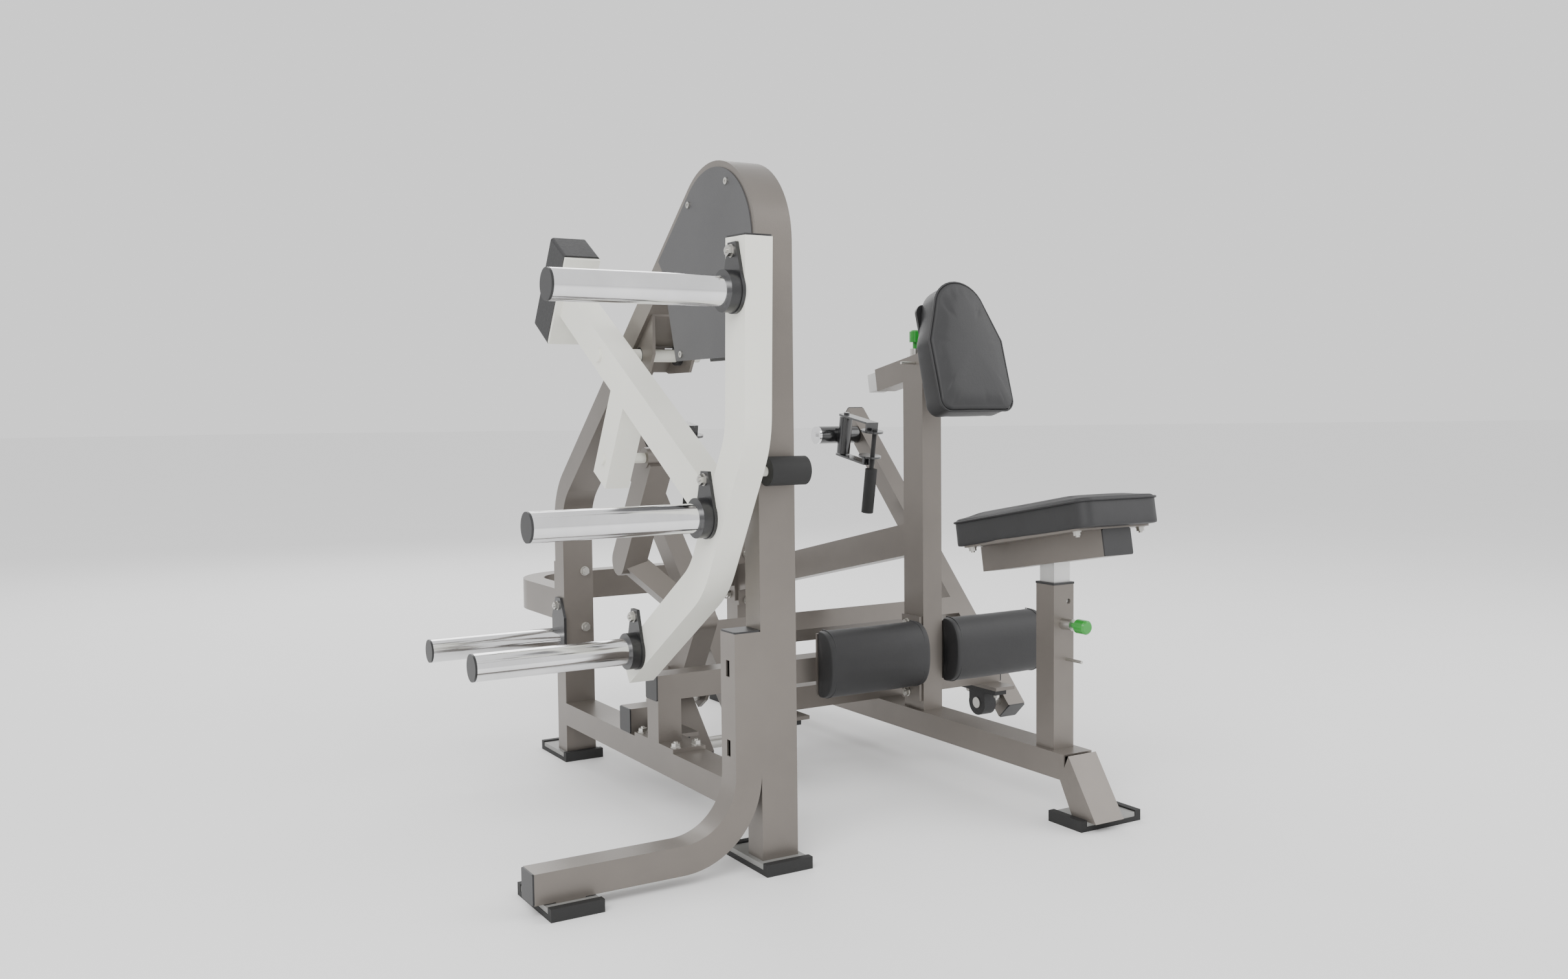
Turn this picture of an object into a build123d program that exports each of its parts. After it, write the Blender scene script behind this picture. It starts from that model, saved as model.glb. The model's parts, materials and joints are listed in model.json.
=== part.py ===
from build123d import *
import math
import os

os.makedirs("parts", exist_ok=True)

# Plate-loaded seated row machine, millimetres.
# X runs across the machine, +Y runs from the seat towards the back, Z is up.

# overall
tower_x = 616.0
tower_height = 1221.0
tower_front = -481.0
tower_back = 457.0
tower_slant = 40.1
arm_x = 357.0
arm_length = 958.0
arm_angle = 46.3
spine_front = -551.5
rear_post_y = 769.0

# tube sections
box_side = 50.0
wide_side = 70.0
wall = 3.0
tube_floor = 18.0
spine_bottom = 80.0
spine_top = 130.0

# shafts and fits
run_gap = 0.05
loose_gap = 0.4
shaft_r = 13.0
lever_shaft_r = 12.5
pin_r = 10.0
horn_r = 25.0
horn_length = 315.0
inner_post = 40.0
inner_gap = 0.6
crank_slack = 4.6

# mechanism places
shaft_y = 85.0
shaft_z = 80.0
crank_x = tower_x - 124.0
crank_pin = 117.0
lever_y = 2.0
lever_z = tower_height - 325.0
lever_x = tower_x + 87.0
lever_tube = 65.0
link_pin_y = -12.0
link_pin_z = -202.0

# seat and chest
seat_y = -487.0
seat_tilt = 10.0
chest_y = -62.0
chest_tilt = 10.5
pad_tilt = 16.5
post_top = 447.0

kept = {}


def keep(name, shape):
    kept[name] = shape


def box(x0, x1, y0, y1, z0, z1):
    size = Box(abs(x1 - x0), abs(y1 - y0), abs(z1 - z0))
    return Pos((x0 + x1) / 2, (y0 + y1) / 2, (z0 + z1) / 2) * size


def rod(start, end, radius):
    a = Vector(*start)
    b = Vector(*end)
    plane = Plane(origin=a, z_dir=b - a)
    return extrude(plane * Circle(radius), (b - a).length)


def ring(start, end, radius, bore):
    return rod(start, end, radius) - rod(start, end, bore)


def hex_rod(start, end, across_flats):
    a = Vector(*start)
    b = Vector(*end)
    plane = Plane(origin=a, z_dir=b - a)
    corner = across_flats / 2 / math.cos(math.radians(30))
    return extrude(plane * RegularPolygon(corner, 6), (b - a).length)


def slab(points, x0, x1, bend=0.0):
    """Flat plate: an outline of (y, z) corners, solid from x0 to x1."""
    face = Polygon(*points, align=None)
    if bend > 0:
        face = fillet(face.vertices(), bend)
    return extrude(Plane.YZ.offset(x0) * face, x1 - x0, dir=(1, 0, 0))


def section(points, across, deep, side):
    a = Vector(*points[0])
    b = Vector(*points[1])
    plane = Plane(origin=a, x_dir=side, z_dir=b - a)
    return plane * Rectangle(across, deep)


def solid_run(points, across, deep, bend, side):
    if len(points) == 2:
        path = Line(points[0], points[1])
    else:
        path = FilletPolyline(*points, radius=bend)
    return sweep(section(points, across, deep, side), path=path)


def tube(points, across, deep, bend=0.0, side=(1, 0, 0), gauge=None):
    """Open box tube along a line of points with rounded bends."""
    thick = wall if gauge is None else gauge
    outer = solid_run(points, across, deep, bend, side)
    inner = solid_run(points, across - 2 * thick, deep - 2 * thick, bend, side)
    return outer - inner


def cap_at(place, direction, across, deep, side=(1, 0, 0), proud=3.0):
    """Plastic end cap: a cover plate and a plug that goes into the tube."""
    plane = Plane(origin=Vector(*place), x_dir=side, z_dir=direction)
    cover = extrude(plane * RectangleRounded(across, deep, 4), proud)
    plug = extrude(plane * Rectangle(across - 2 * wall - 0.6, deep - 2 * wall - 0.6), -14)
    return cover + plug


def bolt_at(place, direction, across_flats=16.0, head=7.0):
    """Hexagon head with a washer, standing on a face."""
    a = Vector(*place)
    d = Vector(*direction).normalized()
    washer = rod(tuple(a), tuple(a + d * 2), across_flats * 0.66)
    top = hex_rod(tuple(a + d * 2), tuple(a + d * (2 + head)), across_flats)
    stud = rod(tuple(a + d * (2 + head)), tuple(a + d * (head + 5)), 4.0)
    return washer + top + stud


def group(shapes):
    solids = []
    for shape in shapes:
        solids.extend(shape.solids())
    return Compound(solids)


def along(y, z, angle, distance, offset=0.0):
    """Point on the Y-Z plane at a distance along a line, offset square to it."""
    c = math.cos(math.radians(angle))
    s = math.sin(math.radians(angle))
    return (y + distance * c - offset * s, z + distance * s + offset * c)


# ---------------------------------------------------------------- tower
def make_tower():
    half = box_side / 2
    bend = 125.0
    near = tower_front + half
    far = tower_back - half
    first = tower_height - half - bend + bend * math.tan(math.radians((90 + tower_slant) / 2))
    second = first - (far - near) * math.tan(math.radians(tower_slant))
    points = [(-tower_x, near, tube_floor), (-tower_x, near, first), (-tower_x, far, second),
              (-tower_x, far, tube_floor)]
    keep("hoop_tower", tube(points, wide_side, box_side, bend))
    low = box(-tower_x - 35, -tower_x + 35, tower_front + box_side, tower_back - box_side, 80, 130)
    hole = box(-tower_x - 32, -tower_x + 32, tower_front + box_side, tower_back - box_side, 83, 127)
    keep("tower_lower_beam", low - hole)
    return first


def slant_under(y, first):
    """Height of the slanted tube's underside at a place y."""
    half = box_side / 2
    middle = first - (y - tower_front - half) * math.tan(math.radians(tower_slant))
    return middle - half / math.cos(math.radians(tower_slant))


def make_covers():
    half = box_side / 2
    arc_z = tower_height - half - 125
    arc_y = tower_front + half + 125
    bottom = tower_height - 343
    slope = math.radians(tower_slant)
    sy = math.sin(slope)
    cy = math.cos(slope)
    start = (arc_y - 139, arc_z)
    crown = (arc_y - 139 * math.cos(math.radians(65)), arc_z + 139 * math.sin(math.radians(65)))
    shoulder = (arc_y + 139 * sy, arc_z + 139 * cy)
    toe = (shoulder[0] + 170 * cy, shoulder[1] - 170 * sy)
    inner_toe = (toe[0] - 30 * sy, toe[1] - 30 * cy)
    low = (arc_y + 151, bottom)
    covers = []
    for x0, x1 in ((-tower_x - 37.2, -tower_x - 35), (-tower_x + 35, -tower_x + 37.2)):
        edge = [
            ThreePointArc(start, crown, shoulder),
            Line(shoulder, toe),
            Line(toe, inner_toe),
            Line(inner_toe, low),
            Line(low, (start[0], bottom)),
            Line((start[0], bottom), start),
        ]
        face = make_face(edge)
        covers.append(extrude(Plane.YZ.offset(x0) * face, x1 - x0, dir=(1, 0, 0)))
    keep("tower_covers", group(covers))
    places = [(arc_y - 54, arc_z + 108), (arc_y + 90, arc_z + 86),
              (arc_y - 122, bottom + 29), (arc_y + 128, bottom + 12)]
    screws = []
    for y, z in places:
        for x, d in ((-tower_x - 37.2, -1), (-tower_x + 37.2, 1)):
            head = rod((x, y, z), (x + 3 * d, y, z), 6)
            screws.append(head - hex_rod((x + 1.2 * d, y, z), (x + 3.2 * d, y, z), 5))
    keep("cover_screws", group(screws))


# ---------------------------------------------------------------- feet
def tray(x0, x1, y0, y1, lips_on_y):
    base = box(x0, x1, y0, y1, 0, 9)
    if lips_on_y:
        lips = box(x0, x1, y0, y0 + 14, 9, 21) + box(x0, x1, y1 - 14, y1, 9, 21)
    else:
        lips = box(x0, x0 + 14, y0, y1, 9, 21) + box(x1 - 14, x1, y0, y1, 9, 21)
    return base + lips


def make_feet():
    feet = [
        (-tower_x, tower_front + 43, True),
        (-tower_x, tower_back + 8, True),
        (-tower_x - 384, tower_front + 45, True),
        (25.0, spine_front - 18.5, False),
        (0.0, rear_post_y, False),
    ]
    plates = []
    trays = []
    for x, y, lengthwise in feet:
        if lengthwise:
            trays.append(tray(x - 45, x + 45, y - 75, y + 75, True))
            plates.append(box(x - 44, x + 44, y - 60.5, y + 60.5, 9, tube_floor))
        else:
            trays.append(tray(x - 75, x + 75, y - 45, y + 45, False))
            plates.append(box(x - 60.5, x + 60.5, y - 44, y + 44, 9, tube_floor))
    keep("foot_plates", group(plates))
    keep("foot_rubbers", group(trays))


# ---------------------------------------------------------------- outrigger
def make_outrigger():
    x = -tower_x - 60
    y = tower_front + box_side / 2
    top = lever_z - 484
    end_x = x - 384
    points = [(x, y, top), (x, y, 45), (end_x, y, 45)]
    body = tube(points, box_side, box_side, 125, side=(0, 1, 0))
    for z in (top - 61, top - 197):
        body -= box(x - 30, x - 20, y - 6, y + 6, z - 14, z + 14)
    leg = box(x - 324 - 25, x - 324 + 25, y - 25, y + 25, tube_floor, 20)
    keep("outrigger_tube", body + leg)


def make_foot_rail():
    post_y = chest_y + 12
    post_x = -tower_x - 10
    base = box(-tower_x - 35, -tower_x + 35, post_y - 88, post_y + 88, spine_top, spine_top + 8)
    post = tube([(post_x, post_y, spine_top + 8), (post_x, post_y, 222)], box_side, box_side)
    rail = tube([(post_x - 25, post_y, 245), (-33, post_y, 245)], box_side, box_side, side=(0, 1, 0))
    plate = box(-33, -25, post_y - 43, post_y + 21, 150, 335)
    cross = rail - box(post_x - 22, post_x + 22, post_y - 22, post_y + 22, 215, 225)
    keep("foot_rail", base + post + cross + plate)
    stub = tube([(25, post_y, 245), (290, post_y, 245)], box_side, box_side, side=(0, 1, 0))
    backs = []
    for name, x0, x1 in (("left", -287, -37), ("right", 37, 289)):
        back = box(x0, x1, post_y - 31, post_y - 25, 192, 320)
        backs.append(back)
        y = post_y - 31
        edge = [
            Line((y, 186), (y, 328)),
            Line((y, 328), (y - 14, 328)),
            ThreePointArc((y - 14, 328), (y - 58, 257), (y - 14, 186)),
            Line((y - 14, 186), (y, 186)),
        ]
        pad = extrude(Plane.YZ.offset(x0) * make_face(edge), x1 - x0, dir=(1, 0, 0))
        keep("foot_pad_" + name, pad)
    keep("foot_backings", group(backs))
    return stub


# ---------------------------------------------------------------- spine
def make_spine():
    half = 25.0
    mid = spine_bottom + half
    rear = rear_post_y - 30
    body = tube([(0, spine_front, mid), (0, rear, mid)], wide_side, box_side)
    outline = [
        (spine_front - 11.5, spine_top), (spine_front + 11.5, spine_bottom),
        (spine_front - 22.5, tube_floor), (spine_front - 85.5, tube_floor),
    ]
    leg = slab(outline, -35, 35)
    core = [
        (spine_front - 9.6, spine_top - 3.2), (spine_front + 8.0, spine_bottom + 1),
        (spine_front - 25.6, tube_floor - 1), (spine_front - 81.0, tube_floor - 1),
    ]
    clear = slab(core, -32, 32)
    cut = slab([(spine_front - 60, 60), (spine_front - 60, 160), (spine_front - 11.5, spine_top),
                (spine_front + 11.5, spine_bottom), (spine_front + 11.5, 60)], -40, 40)
    keep("spine_tube", (body - cut) + (leg - clear))


def make_rear():
    x = box_side / 2
    back = rear_post_y
    keep("rear_post", tube([(0, back, tube_floor), (0, back, 470)], box_side, 60))
    top = 497.5
    brace_front = chest_y + 35
    brace_back = back - 30 - 8
    bottom = 338.0
    body = tube([(0, brace_front - 30, top + 30 * 0.2075), (0, brace_back + 30, bottom - 30 * 0.2075)],
                box_side, 68.5)
    body -= box(-40, 40, brace_front - 90, brace_front, 380, 620)
    body -= box(-40, 40, brace_back, brace_back + 80, 250, 450)
    plate = box(-x, x, brace_back, brace_back + 8, bottom - 75, bottom + 75)
    keep("spine_brace", body + plate)
    side_y = tower_back + 8
    side_x = -tower_x - 10
    points = [(side_x, side_y, 350), (side_x, back, 350), (-x - 8, back, 350)]
    side = tube(points, 70, box_side, 125, side=(0, 0, 1))
    near_plate = box(side_x - 25, side_x + 45, tower_back, tower_back + 8, 262, 448)
    far_plate = box(-x - 8, -x, back - 30, back + 30, 275, 425)
    keep("rear_side_tube", side + near_plate + far_plate)


# ---------------------------------------------------------------- posts
def make_chest_post(stub):
    c = math.cos(math.radians(chest_tilt))
    s = math.sin(math.radians(chest_tilt))
    mid = along(chest_y + 20, 872.0, 180 - chest_tilt, 0)
    rear = along(mid[0], mid[1], 180 - chest_tilt, -121)
    front = along(mid[0], mid[1], 180 - chest_tilt, 72)
    sleeve = tube([(0, front[0], front[1]), (0, rear[0], rear[1])], box_side, box_side,
                  gauge=(box_side - inner_post) / 2 - inner_gap)
    solid = solid_run([(0, front[0], front[1]), (0, rear[0], rear[1])], box_side, box_side, 0, (1, 0, 0))
    post = tube([(0, chest_y, spine_top), (0, chest_y, 900)], box_side, wide_side)
    under = mid[1] - box_side / 2 / c
    near_y = chest_y - 60
    far_y = chest_y + 60
    near_z = under - (near_y - mid[0]) * s / c
    far_z = under - (far_y - mid[0]) * s / c
    above = slab([(near_y, near_z), (near_y, 1000), (far_y, 1000), (far_y, far_z)], -40, 40)
    pin_y = chest_y + 24
    pin_z = mid[1] + (mid[0] - pin_y) * s / c
    hole = rod((0, pin_y, pin_z), (0, pin_y, pin_z + 60), 5.2)
    stop = rod((-60, chest_y - 9, 884), (0, chest_y - 9, 884), 3.1)
    keep("chest_post", post - above + stub)
    keep("chest_sleeve", sleeve - hole - stop)
    top = pin_z + 25 / c
    housing = ring((0, pin_y, top - 4), (0, pin_y, top + 20), 11, 5.2) - solid
    return mid, pin_y, top, housing


def make_seat_post(chest_housing):
    y = seat_y
    outer = tube([(0, y, spine_top), (0, y, post_top)], box_side, box_side,
                 gauge=(box_side - inner_post) / 2 - inner_gap)
    outer -= rod((0, y, post_top - 75), (0, y - 40, post_top - 75), 5.2)
    outer -= rod((12, y, post_top - 33), (12, y - 40, post_top - 33), 5)
    outer -= rod((9, y - 15, post_top - 145), (9, y - 40, post_top - 145), 3.05)
    keep("seat_outer_post", outer)
    collar = box(-26, 26, y - 26, y + 26, post_top, post_top + 4)
    collar -= box(-20.6, 20.6, y - 20.6, y + 20.6, post_top - 1, post_top + 5)
    face = y - 25
    housing = ring((0, face, post_top - 75), (0, face - 26, post_top - 75), 11, 5.2)
    keep("pin_housings", group([housing, chest_housing]))
    pin = rod((0, face + 4, post_top - 75), (0, face - 40, post_top - 75), 5.2 - run_gap)
    knob = rod((0, face - 40, post_top - 75), (0, face - 65, post_top - 75), 13.5)
    knob = chamfer(knob.edges().sort_by(Axis.Y)[0], 3)
    keep("seat_pull_pin", pin + knob)
    stops = [rod((9, face + 4.2, post_top - 145), (9, face - 40, post_top - 145), 3.0),
             rod((-62, chest_y - 9, 884), (-21.2, chest_y - 9, 884), 3.0)]
    keep("stop_pins", group(stops))
    return collar


# ---------------------------------------------------------------- shaft line
block_xs = (-tower_x + 63.0, -285.0, 285.0)


def make_cross_bars():
    y = shaft_y
    right = tube([(-319, y, 155), (319, y, 155)], box_side, box_side, side=(0, 1, 0))
    end = -tower_x + 41
    left = tube([(-tower_x - 32, y, 155), (end, y, 155)], box_side, box_side, side=(0, 1, 0))
    plates = [right, left]
    blocks = []
    for x in block_xs:
        plates[0 if x > block_xs[0] else 1] += box(x - 28, x + 28, y - 85, y + 85, 122, spine_top)
        body = box(x - 17, x + 17, y - 68, y + 68, 108, 122)
        body += rod((x - 17, y, shaft_z), (x + 17, y, shaft_z), 30)
        body += box(x - 17, x + 17, y - 29, y + 29, shaft_z, 115)
        body -= rod((x - 20, y, shaft_z), (x + 20, y, shaft_z), shaft_r + run_gap)
        blocks.append(body)
    keep("shaft_bars", group(plates))
    keep("pillow_blocks", group(blocks))


def make_handle_frame():
    y = shaft_y
    z = shaft_z
    side = box_side / 2
    low = along(y, z, arm_angle, -shaft_r - 20)
    top = along(y, z, arm_angle, arm_length)
    whole = None
    for x in (-arm_x, arm_x):
        arm = tube([(x, low[0], low[1]), (x, top[0], top[1])], box_side, box_side)
        whole = arm if whole is None else whole + arm
    cross = along(y, z, arm_angle, 268)
    whole += tube([(-arm_x + side, cross[0], cross[1]), (arm_x - side, cross[0], cross[1])],
                  box_side, box_side, side=(0, math.cos(math.radians(arm_angle)),
                                            math.sin(math.radians(arm_angle))))
    foot = along(y, z, arm_angle, -shaft_r - 22)
    head = along(y, z, arm_angle, 268 + side)
    crank = tube([(-crank_x, foot[0], foot[1]), (-crank_x, head[0], head[1])], box_side, box_side)
    join = tube([(-crank_x + side, cross[0], cross[1]), (-arm_x - side, cross[0], cross[1])],
                box_side, box_side, side=(0, math.cos(math.radians(arm_angle)),
                                          math.sin(math.radians(arm_angle))))
    whole += crank + join
    pin = along(y, z, arm_angle, crank_pin)
    bore = pin_r + crank_slack
    hub = rod((-crank_x - 30, pin[0], pin[1]), (-crank_x + 30, pin[0], pin[1]), bore + 6)
    whole += hub
    whole -= rod((-crank_x - 40, pin[0], pin[1]), (-crank_x + 40, pin[0], pin[1]), bore)
    for x in (-arm_x, arm_x, -crank_x):
        whole += ring((x - side, y, z), (x + side, y, z), shaft_r + 5, shaft_r)
        whole -= rod((x - side - 5, y, z), (x + side + 5, y, z), shaft_r)
    hub_y, hub_z = along(y, z, arm_angle, 880)
    for d in (-1, 1):
        start = d * (arm_x - side)
        whole += rod((start, hub_y, hub_z), (d * 210, hub_y, hub_z), 14)
    keep("handle_frame", whole)
    shafts = [rod((block_xs[0] - 24, y, z), (block_xs[1] + 26, y, z), shaft_r),
              rod((block_xs[2] - 19, y, z), (arm_x + 25, y, z), shaft_r)]
    keep("handle_shafts", group(shafts))
    ends = []
    backwards = (0, -math.cos(math.radians(arm_angle)), -math.sin(math.radians(arm_angle)))
    for x, place in ((-arm_x, low), (arm_x, low), (-crank_x, foot)):
        ends.append(cap_at((x, place[0], place[1]), backwards, box_side, box_side))
    upwards = (0, math.cos(math.radians(arm_angle)), math.sin(math.radians(arm_angle)))
    for x in (-arm_x, arm_x):
        ends.append(cap_at((x, top[0], top[1]), upwards, box_side, box_side))
    keep("handle_frame_caps", group(ends))
    return pin, (hub_y, hub_z)


grip_x = 268.0
grip_tilt = 10.0


def make_grip(name, d, hub):
    """One pulling handle: d is -1 for the left side and +1 for the right."""
    y, z = hub
    tube_body = ring((d * 207, y, z), (d * (arm_x - 28), y, z), 24, 14 + run_gap)
    post_y = y - 24 - 17
    x = d * grip_x
    c = math.cos(math.radians(grip_tilt))
    s = math.sin(math.radians(grip_tilt))

    def spot(up, out=0.0):
        return (x, post_y - up * s - out * c, z + up * c - out * s)

    post = rod(spot(-50), spot(50), 18)
    bridge = box(x - 14, x + 14, post_y, y - 14.5, z - 18, z + 18)
    bridge -= rod((d * 190, y, z), (d * 350, y, z), 14 + run_gap)
    body = tube_body + post + bridge
    body -= rod(spot(-60), spot(60), 8.0 + run_gap)
    keep("grip_hub_" + name, body)
    cap = rod((d * 200, y, z), (d * 206.5, y, z), 24) + rod((d * 206.5, y, z), (d * 210, y, z), 12)
    cap += hex_rod((d * 195, y, z), (d * 200, y, z), 16)
    keep("grip_hub_cap_" + name, cap)
    plane = Plane(origin=Vector(*spot(0)), x_dir=(1, 0, 0), z_dir=(0, -s, c))
    reach = 128
    # plane y points back along +Y
    arms = None
    for up in (-57, 52):
        face = Pos(0, -reach / 2 + 9) * RectangleRounded(36, reach + 18, 12)
        part = extrude(plane.offset(up) * face, 5)
        arms = part if arms is None else arms + part
    outer = Pos(0, -reach + 4) * Rectangle(36, 7)
    web_a = extrude(plane.offset(-57) * outer, 26)
    web_b = extrude(plane.offset(31) * outer, 26)
    ends = extrude(plane.offset(-36) * (Pos(0, -reach) * Circle(30)), 5)
    ends += extrude(plane.offset(31) * (Pos(0, -reach) * Circle(30)), 5)
    pin = extrude(plane.offset(-60) * Circle(8), 122)
    bracket = arms + web_a + web_b + ends + pin
    bracket -= extrude(plane.offset(-70) * (Pos(0, -reach - 12) * Circle(6 + run_gap)), 140)
    keep("grip_bracket_" + name, bracket)
    centre = Pos(0, -reach - 12) * Circle(6)
    bar = extrude(plane.offset(-124) * centre, 164)
    sleeve = extrude(plane.offset(-184) * (Pos(0, -reach - 12) * Circle(16)), 118)
    keep("grip_" + name, bar + sleeve)
    return spot(0), (0, -s, c), spot(0, reach + 12)


# ---------------------------------------------------------------- lever
def make_lever():
    x = -lever_x
    p = (lever_y, lever_z)
    half = box_side / 2
    top = (p[0] - 552, p[1] + 166)
    knee = (p[0] - 542, p[1] - 157)
    turn = (p[0] - 400, p[1] - 401)
    end = (p[0] - 97, p[1] - 597)
    spine = [(x, top[0], top[1]), (x, knee[0], knee[1]), (x, turn[0], turn[1]), (x, end[0], end[1])]
    arm = tube(spine, box_side, lever_tube, 150)
    slope = 32.0
    behind = along(p[0], p[1], slope, 217)
    before = along(p[0], p[1], slope, -535)
    diagonal = tube([(x, behind[0], behind[1]), (x, before[0], before[1])], box_side, lever_tube)
    drop = along(p[0], p[1], slope, -117 + 6)
    pin = (p[0] + link_pin_y, p[1] + link_pin_z)
    d = math.hypot(pin[0] - drop[0], pin[1] - drop[1])
    tip = (pin[0] + (pin[0] - drop[0]) / d * 48, pin[1] + (pin[1] - drop[1]) / d * 48)
    stub = tube([(x, drop[0], drop[1]), (x, tip[0], tip[1])], box_side, lever_tube)
    bead = ring((x - half, pin[0], pin[1]), (x + half, pin[0], pin[1]), 16, pin_r)
    ear = ring((x - half, p[0], p[1]), (x + half, p[0], p[1]), lever_shaft_r + 5, lever_shaft_r)
    plate_plane = Plane(origin=(x, behind[0], behind[1]), x_dir=(1, 0, 0),
                        z_dir=(0, math.cos(math.radians(slope)), math.sin(math.radians(slope))))
    plate = extrude(plate_plane * Rectangle(75, 195), 8)
    roller_y = tower_front - 24.9
    roller_z = p[1] - 212
    peg = rod((x + half, roller_y, roller_z), (-tower_x + 45, roller_y, roller_z), 8)
    shank = box(x - half, x + half, roller_y - 16, roller_y + 16, roller_z - 16, roller_z + 16)
    body = arm + diagonal + stub + bead + ear + plate + shank + peg
    body -= rod((x - 40, pin[0], pin[1]), (x + 40, pin[0], pin[1]), pin_r)
    body -= rod((x - 40, p[0], p[1]), (x + 40, p[0], p[1]), lever_shaft_r)
    keep("lever_frame", body)
    rise = (0, top[0] - knee[0], top[1] - knee[1])
    keep("lever_cap", cap_at((x, top[0], top[1]), rise, box_side, lever_tube))
    inner = block_xs[0] + 40
    shaft = rod((x - half - 5, p[0], p[1]), (inner, p[0], p[1]), lever_shaft_r)
    pivot_pin = rod((x - half - 5, pin[0], pin[1]), (x + half + 46, pin[0], pin[1]), pin_r)
    keep("lever_pins", group([shaft, pivot_pin]))
    keep("stop_roller", ring((-tower_x - 35, roller_y, roller_z), (-tower_x + 40, roller_y, roller_z),
                             24.5, 8 + run_gap))
    block = extrude(plate_plane.offset(8) * RectangleRounded(78, 203, 6), 82)
    keep("lever_block", block)
    heads = []
    for v in (-62, 62):
        spot = (plate_plane.offset(90) * Pos(0, v, 0)).position
        direction = plate_plane.z_dir
        heads.append(bolt_at(tuple(spot), tuple(direction)))
    horns = []
    flanges = []
    spigot = horn_r - 3
    ends = []
    places = [(p[0] - 550, p[1] + 79), (p[0] - 445, p[1] - 289), (p[0] - 153, p[1] - 556)]
    face = x - half
    for y, z in places:
        flange = rod((face - 6, y, z), (face, y, z), 36)
        flange += slab([(y - 30, z + 20), (y - 13, z + 78), (y + 13, z + 78), (y + 30, z + 20)],
                       face - 6, face)
        collar = rod((face - 24, y, z), (face - 6, y, z), 34)
        flanges.append(flange + collar - rod((face - 30, y, z), (face + 5, y, z), spigot))
        horn = rod((face - horn_length, y, z), (face - 24, y, z), horn_r)
        horn += rod((face - 24, y, z), (face, y, z), spigot)
        horn -= rod((face - horn_length - 5, y, z), (face + 5, y, z), spigot - 6)
        horns.append(horn)
        ends.append(rod((face - horn_length - 4, y, z), (face - horn_length, y, z), horn_r)
                    + rod((face - horn_length, y, z), (face - horn_length + 15, y, z), spigot - 6.2))
    keep("weight_horns", group(horns))
    keep("horn_flanges", group(flanges))
    keep("horn_caps", group(ends))
    heads.extend(bolt_at((face - 6, y, z + 64), (-1, 0, 0)) for y, z in places)
    keep("lever_bolts", group(heads))
    return p, pin, (roller_y, roller_z)


def make_lever_bearings(first):
    y, z = lever_y, lever_z
    x0 = -tower_x - 27
    x1 = -tower_x + 67
    sides = None
    for x in (x0, x1 - 6):
        under_a = slant_under(y - 62, first)
        under_b = slant_under(y + 62, first)
        low = z - 34
        part = slab([(y - 62, under_a), (y - 62, z), (y - 40, low), (y + 52, low),
                     (y + 62, under_b - 4), (y + 62, under_b)], x, x + 6)
        sides = part if sides is None else sides + part
    under_a = slant_under(y - 62, first)
    under_b = slant_under(y + 62, first)
    top = slab([(y - 62, under_a), (y + 62, under_b), (y + 62, under_b - 4), (y - 62, under_a - 4)],
               x0, x1)
    top -= rod((x0 + 6, y, z), (x1 - 6, y, z), 19.4)
    body = sides + top
    body -= rod((x0 - 5, y, z), (x1 + 5, y, z), 16)
    keep("pivot_bracket", body)
    parts = []
    for x in (x0, x1 - 16):
        start = x + 6 if x == x0 else x
        part = rod((start, y, z), (start + 10, y, z), 19)
        neck = rod((x, y, z), (x + 16, y, z), 16)
        parts.append(part + neck - rod((x - 5, y, z), (x + 25, y, z), lever_shaft_r + run_gap))
    keep("lever_bearings", group(parts))


def make_link(pin, crank):
    top_x = -tower_x + 1
    low_x = -crank_x
    a = (top_x, pin[0], pin[1])
    e = (low_x, crank[0], crank[1])
    drop = pin[1] - crank[1]
    b = (top_x, pin[0] + 140, pin[1] - drop * 0.41)
    c = (low_x, pin[0] + 62, pin[1] - drop * 0.65)
    dy = e[1] - c[1]
    dz = e[2] - c[2]
    length = math.hypot(dy, dz)
    stop = (length - 62) / length
    d = (low_x, c[1] + dy * stop, c[2] + dz * stop)
    inner = solid_run([a, b], box_side, 60, 0, (1, 0, 0))
    body = inner
    mid_plane = Plane(origin=b, x_dir=(0, 1, 0), z_dir=Vector(*c) - Vector(*b))
    body += extrude(mid_plane * Rectangle(50, 44), (Vector(*c) - Vector(*b)).length)
    body += rod((top_x - 25, b[1], b[2]), (top_x + 25, b[1], b[2]), 30)
    body += rod((low_x - 25, c[1], c[2]), (low_x + 25, c[1], c[2]), 30)
    body += solid_run([c, d], box_side, 60, 0, (1, 0, 0))
    sleeve = rod((top_x - 27, pin[0], pin[1]), (top_x + 27, pin[0], pin[1]), 20.5)
    body += sleeve
    uy = dy / length
    uz = dz / length
    crown = Plane(origin=d, x_dir=(1, 0, 0), z_dir=(0, uy, uz))
    body += extrude(crown * Rectangle(120, 56), -10)
    for x in (low_x - 60, low_x + 52):
        sheet = Plane(origin=(x, d[1], d[2]), x_dir=(0, uy, uz), z_dir=(1, 0, 0))
        outline = Polygon((-10, -28), (-10, 28), (50, 28), (84, 12), (84, -12), (50, -28), align=None)
        body += extrude(sheet * outline, 8, dir=(1, 0, 0))
    body -= rod((low_x - 90, e[1], e[2]), (low_x + 90, e[1], e[2]), pin_r)
    body -= rod((top_x - 60, pin[0], pin[1]), (top_x + 60, pin[0], pin[1]), pin_r + run_gap)
    keep("link_tube", body)
    lower = rod((low_x - 60, e[1], e[2]), (low_x + 60, e[1], e[2]), pin_r)
    lower += rod((low_x - 68, e[1], e[2]), (low_x - 60, e[1], e[2]), 12)
    lower += rod((low_x + 60, e[1], e[2]), (low_x + 68, e[1], e[2]), 12)
    keep("link_lower_pin", lower)


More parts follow.
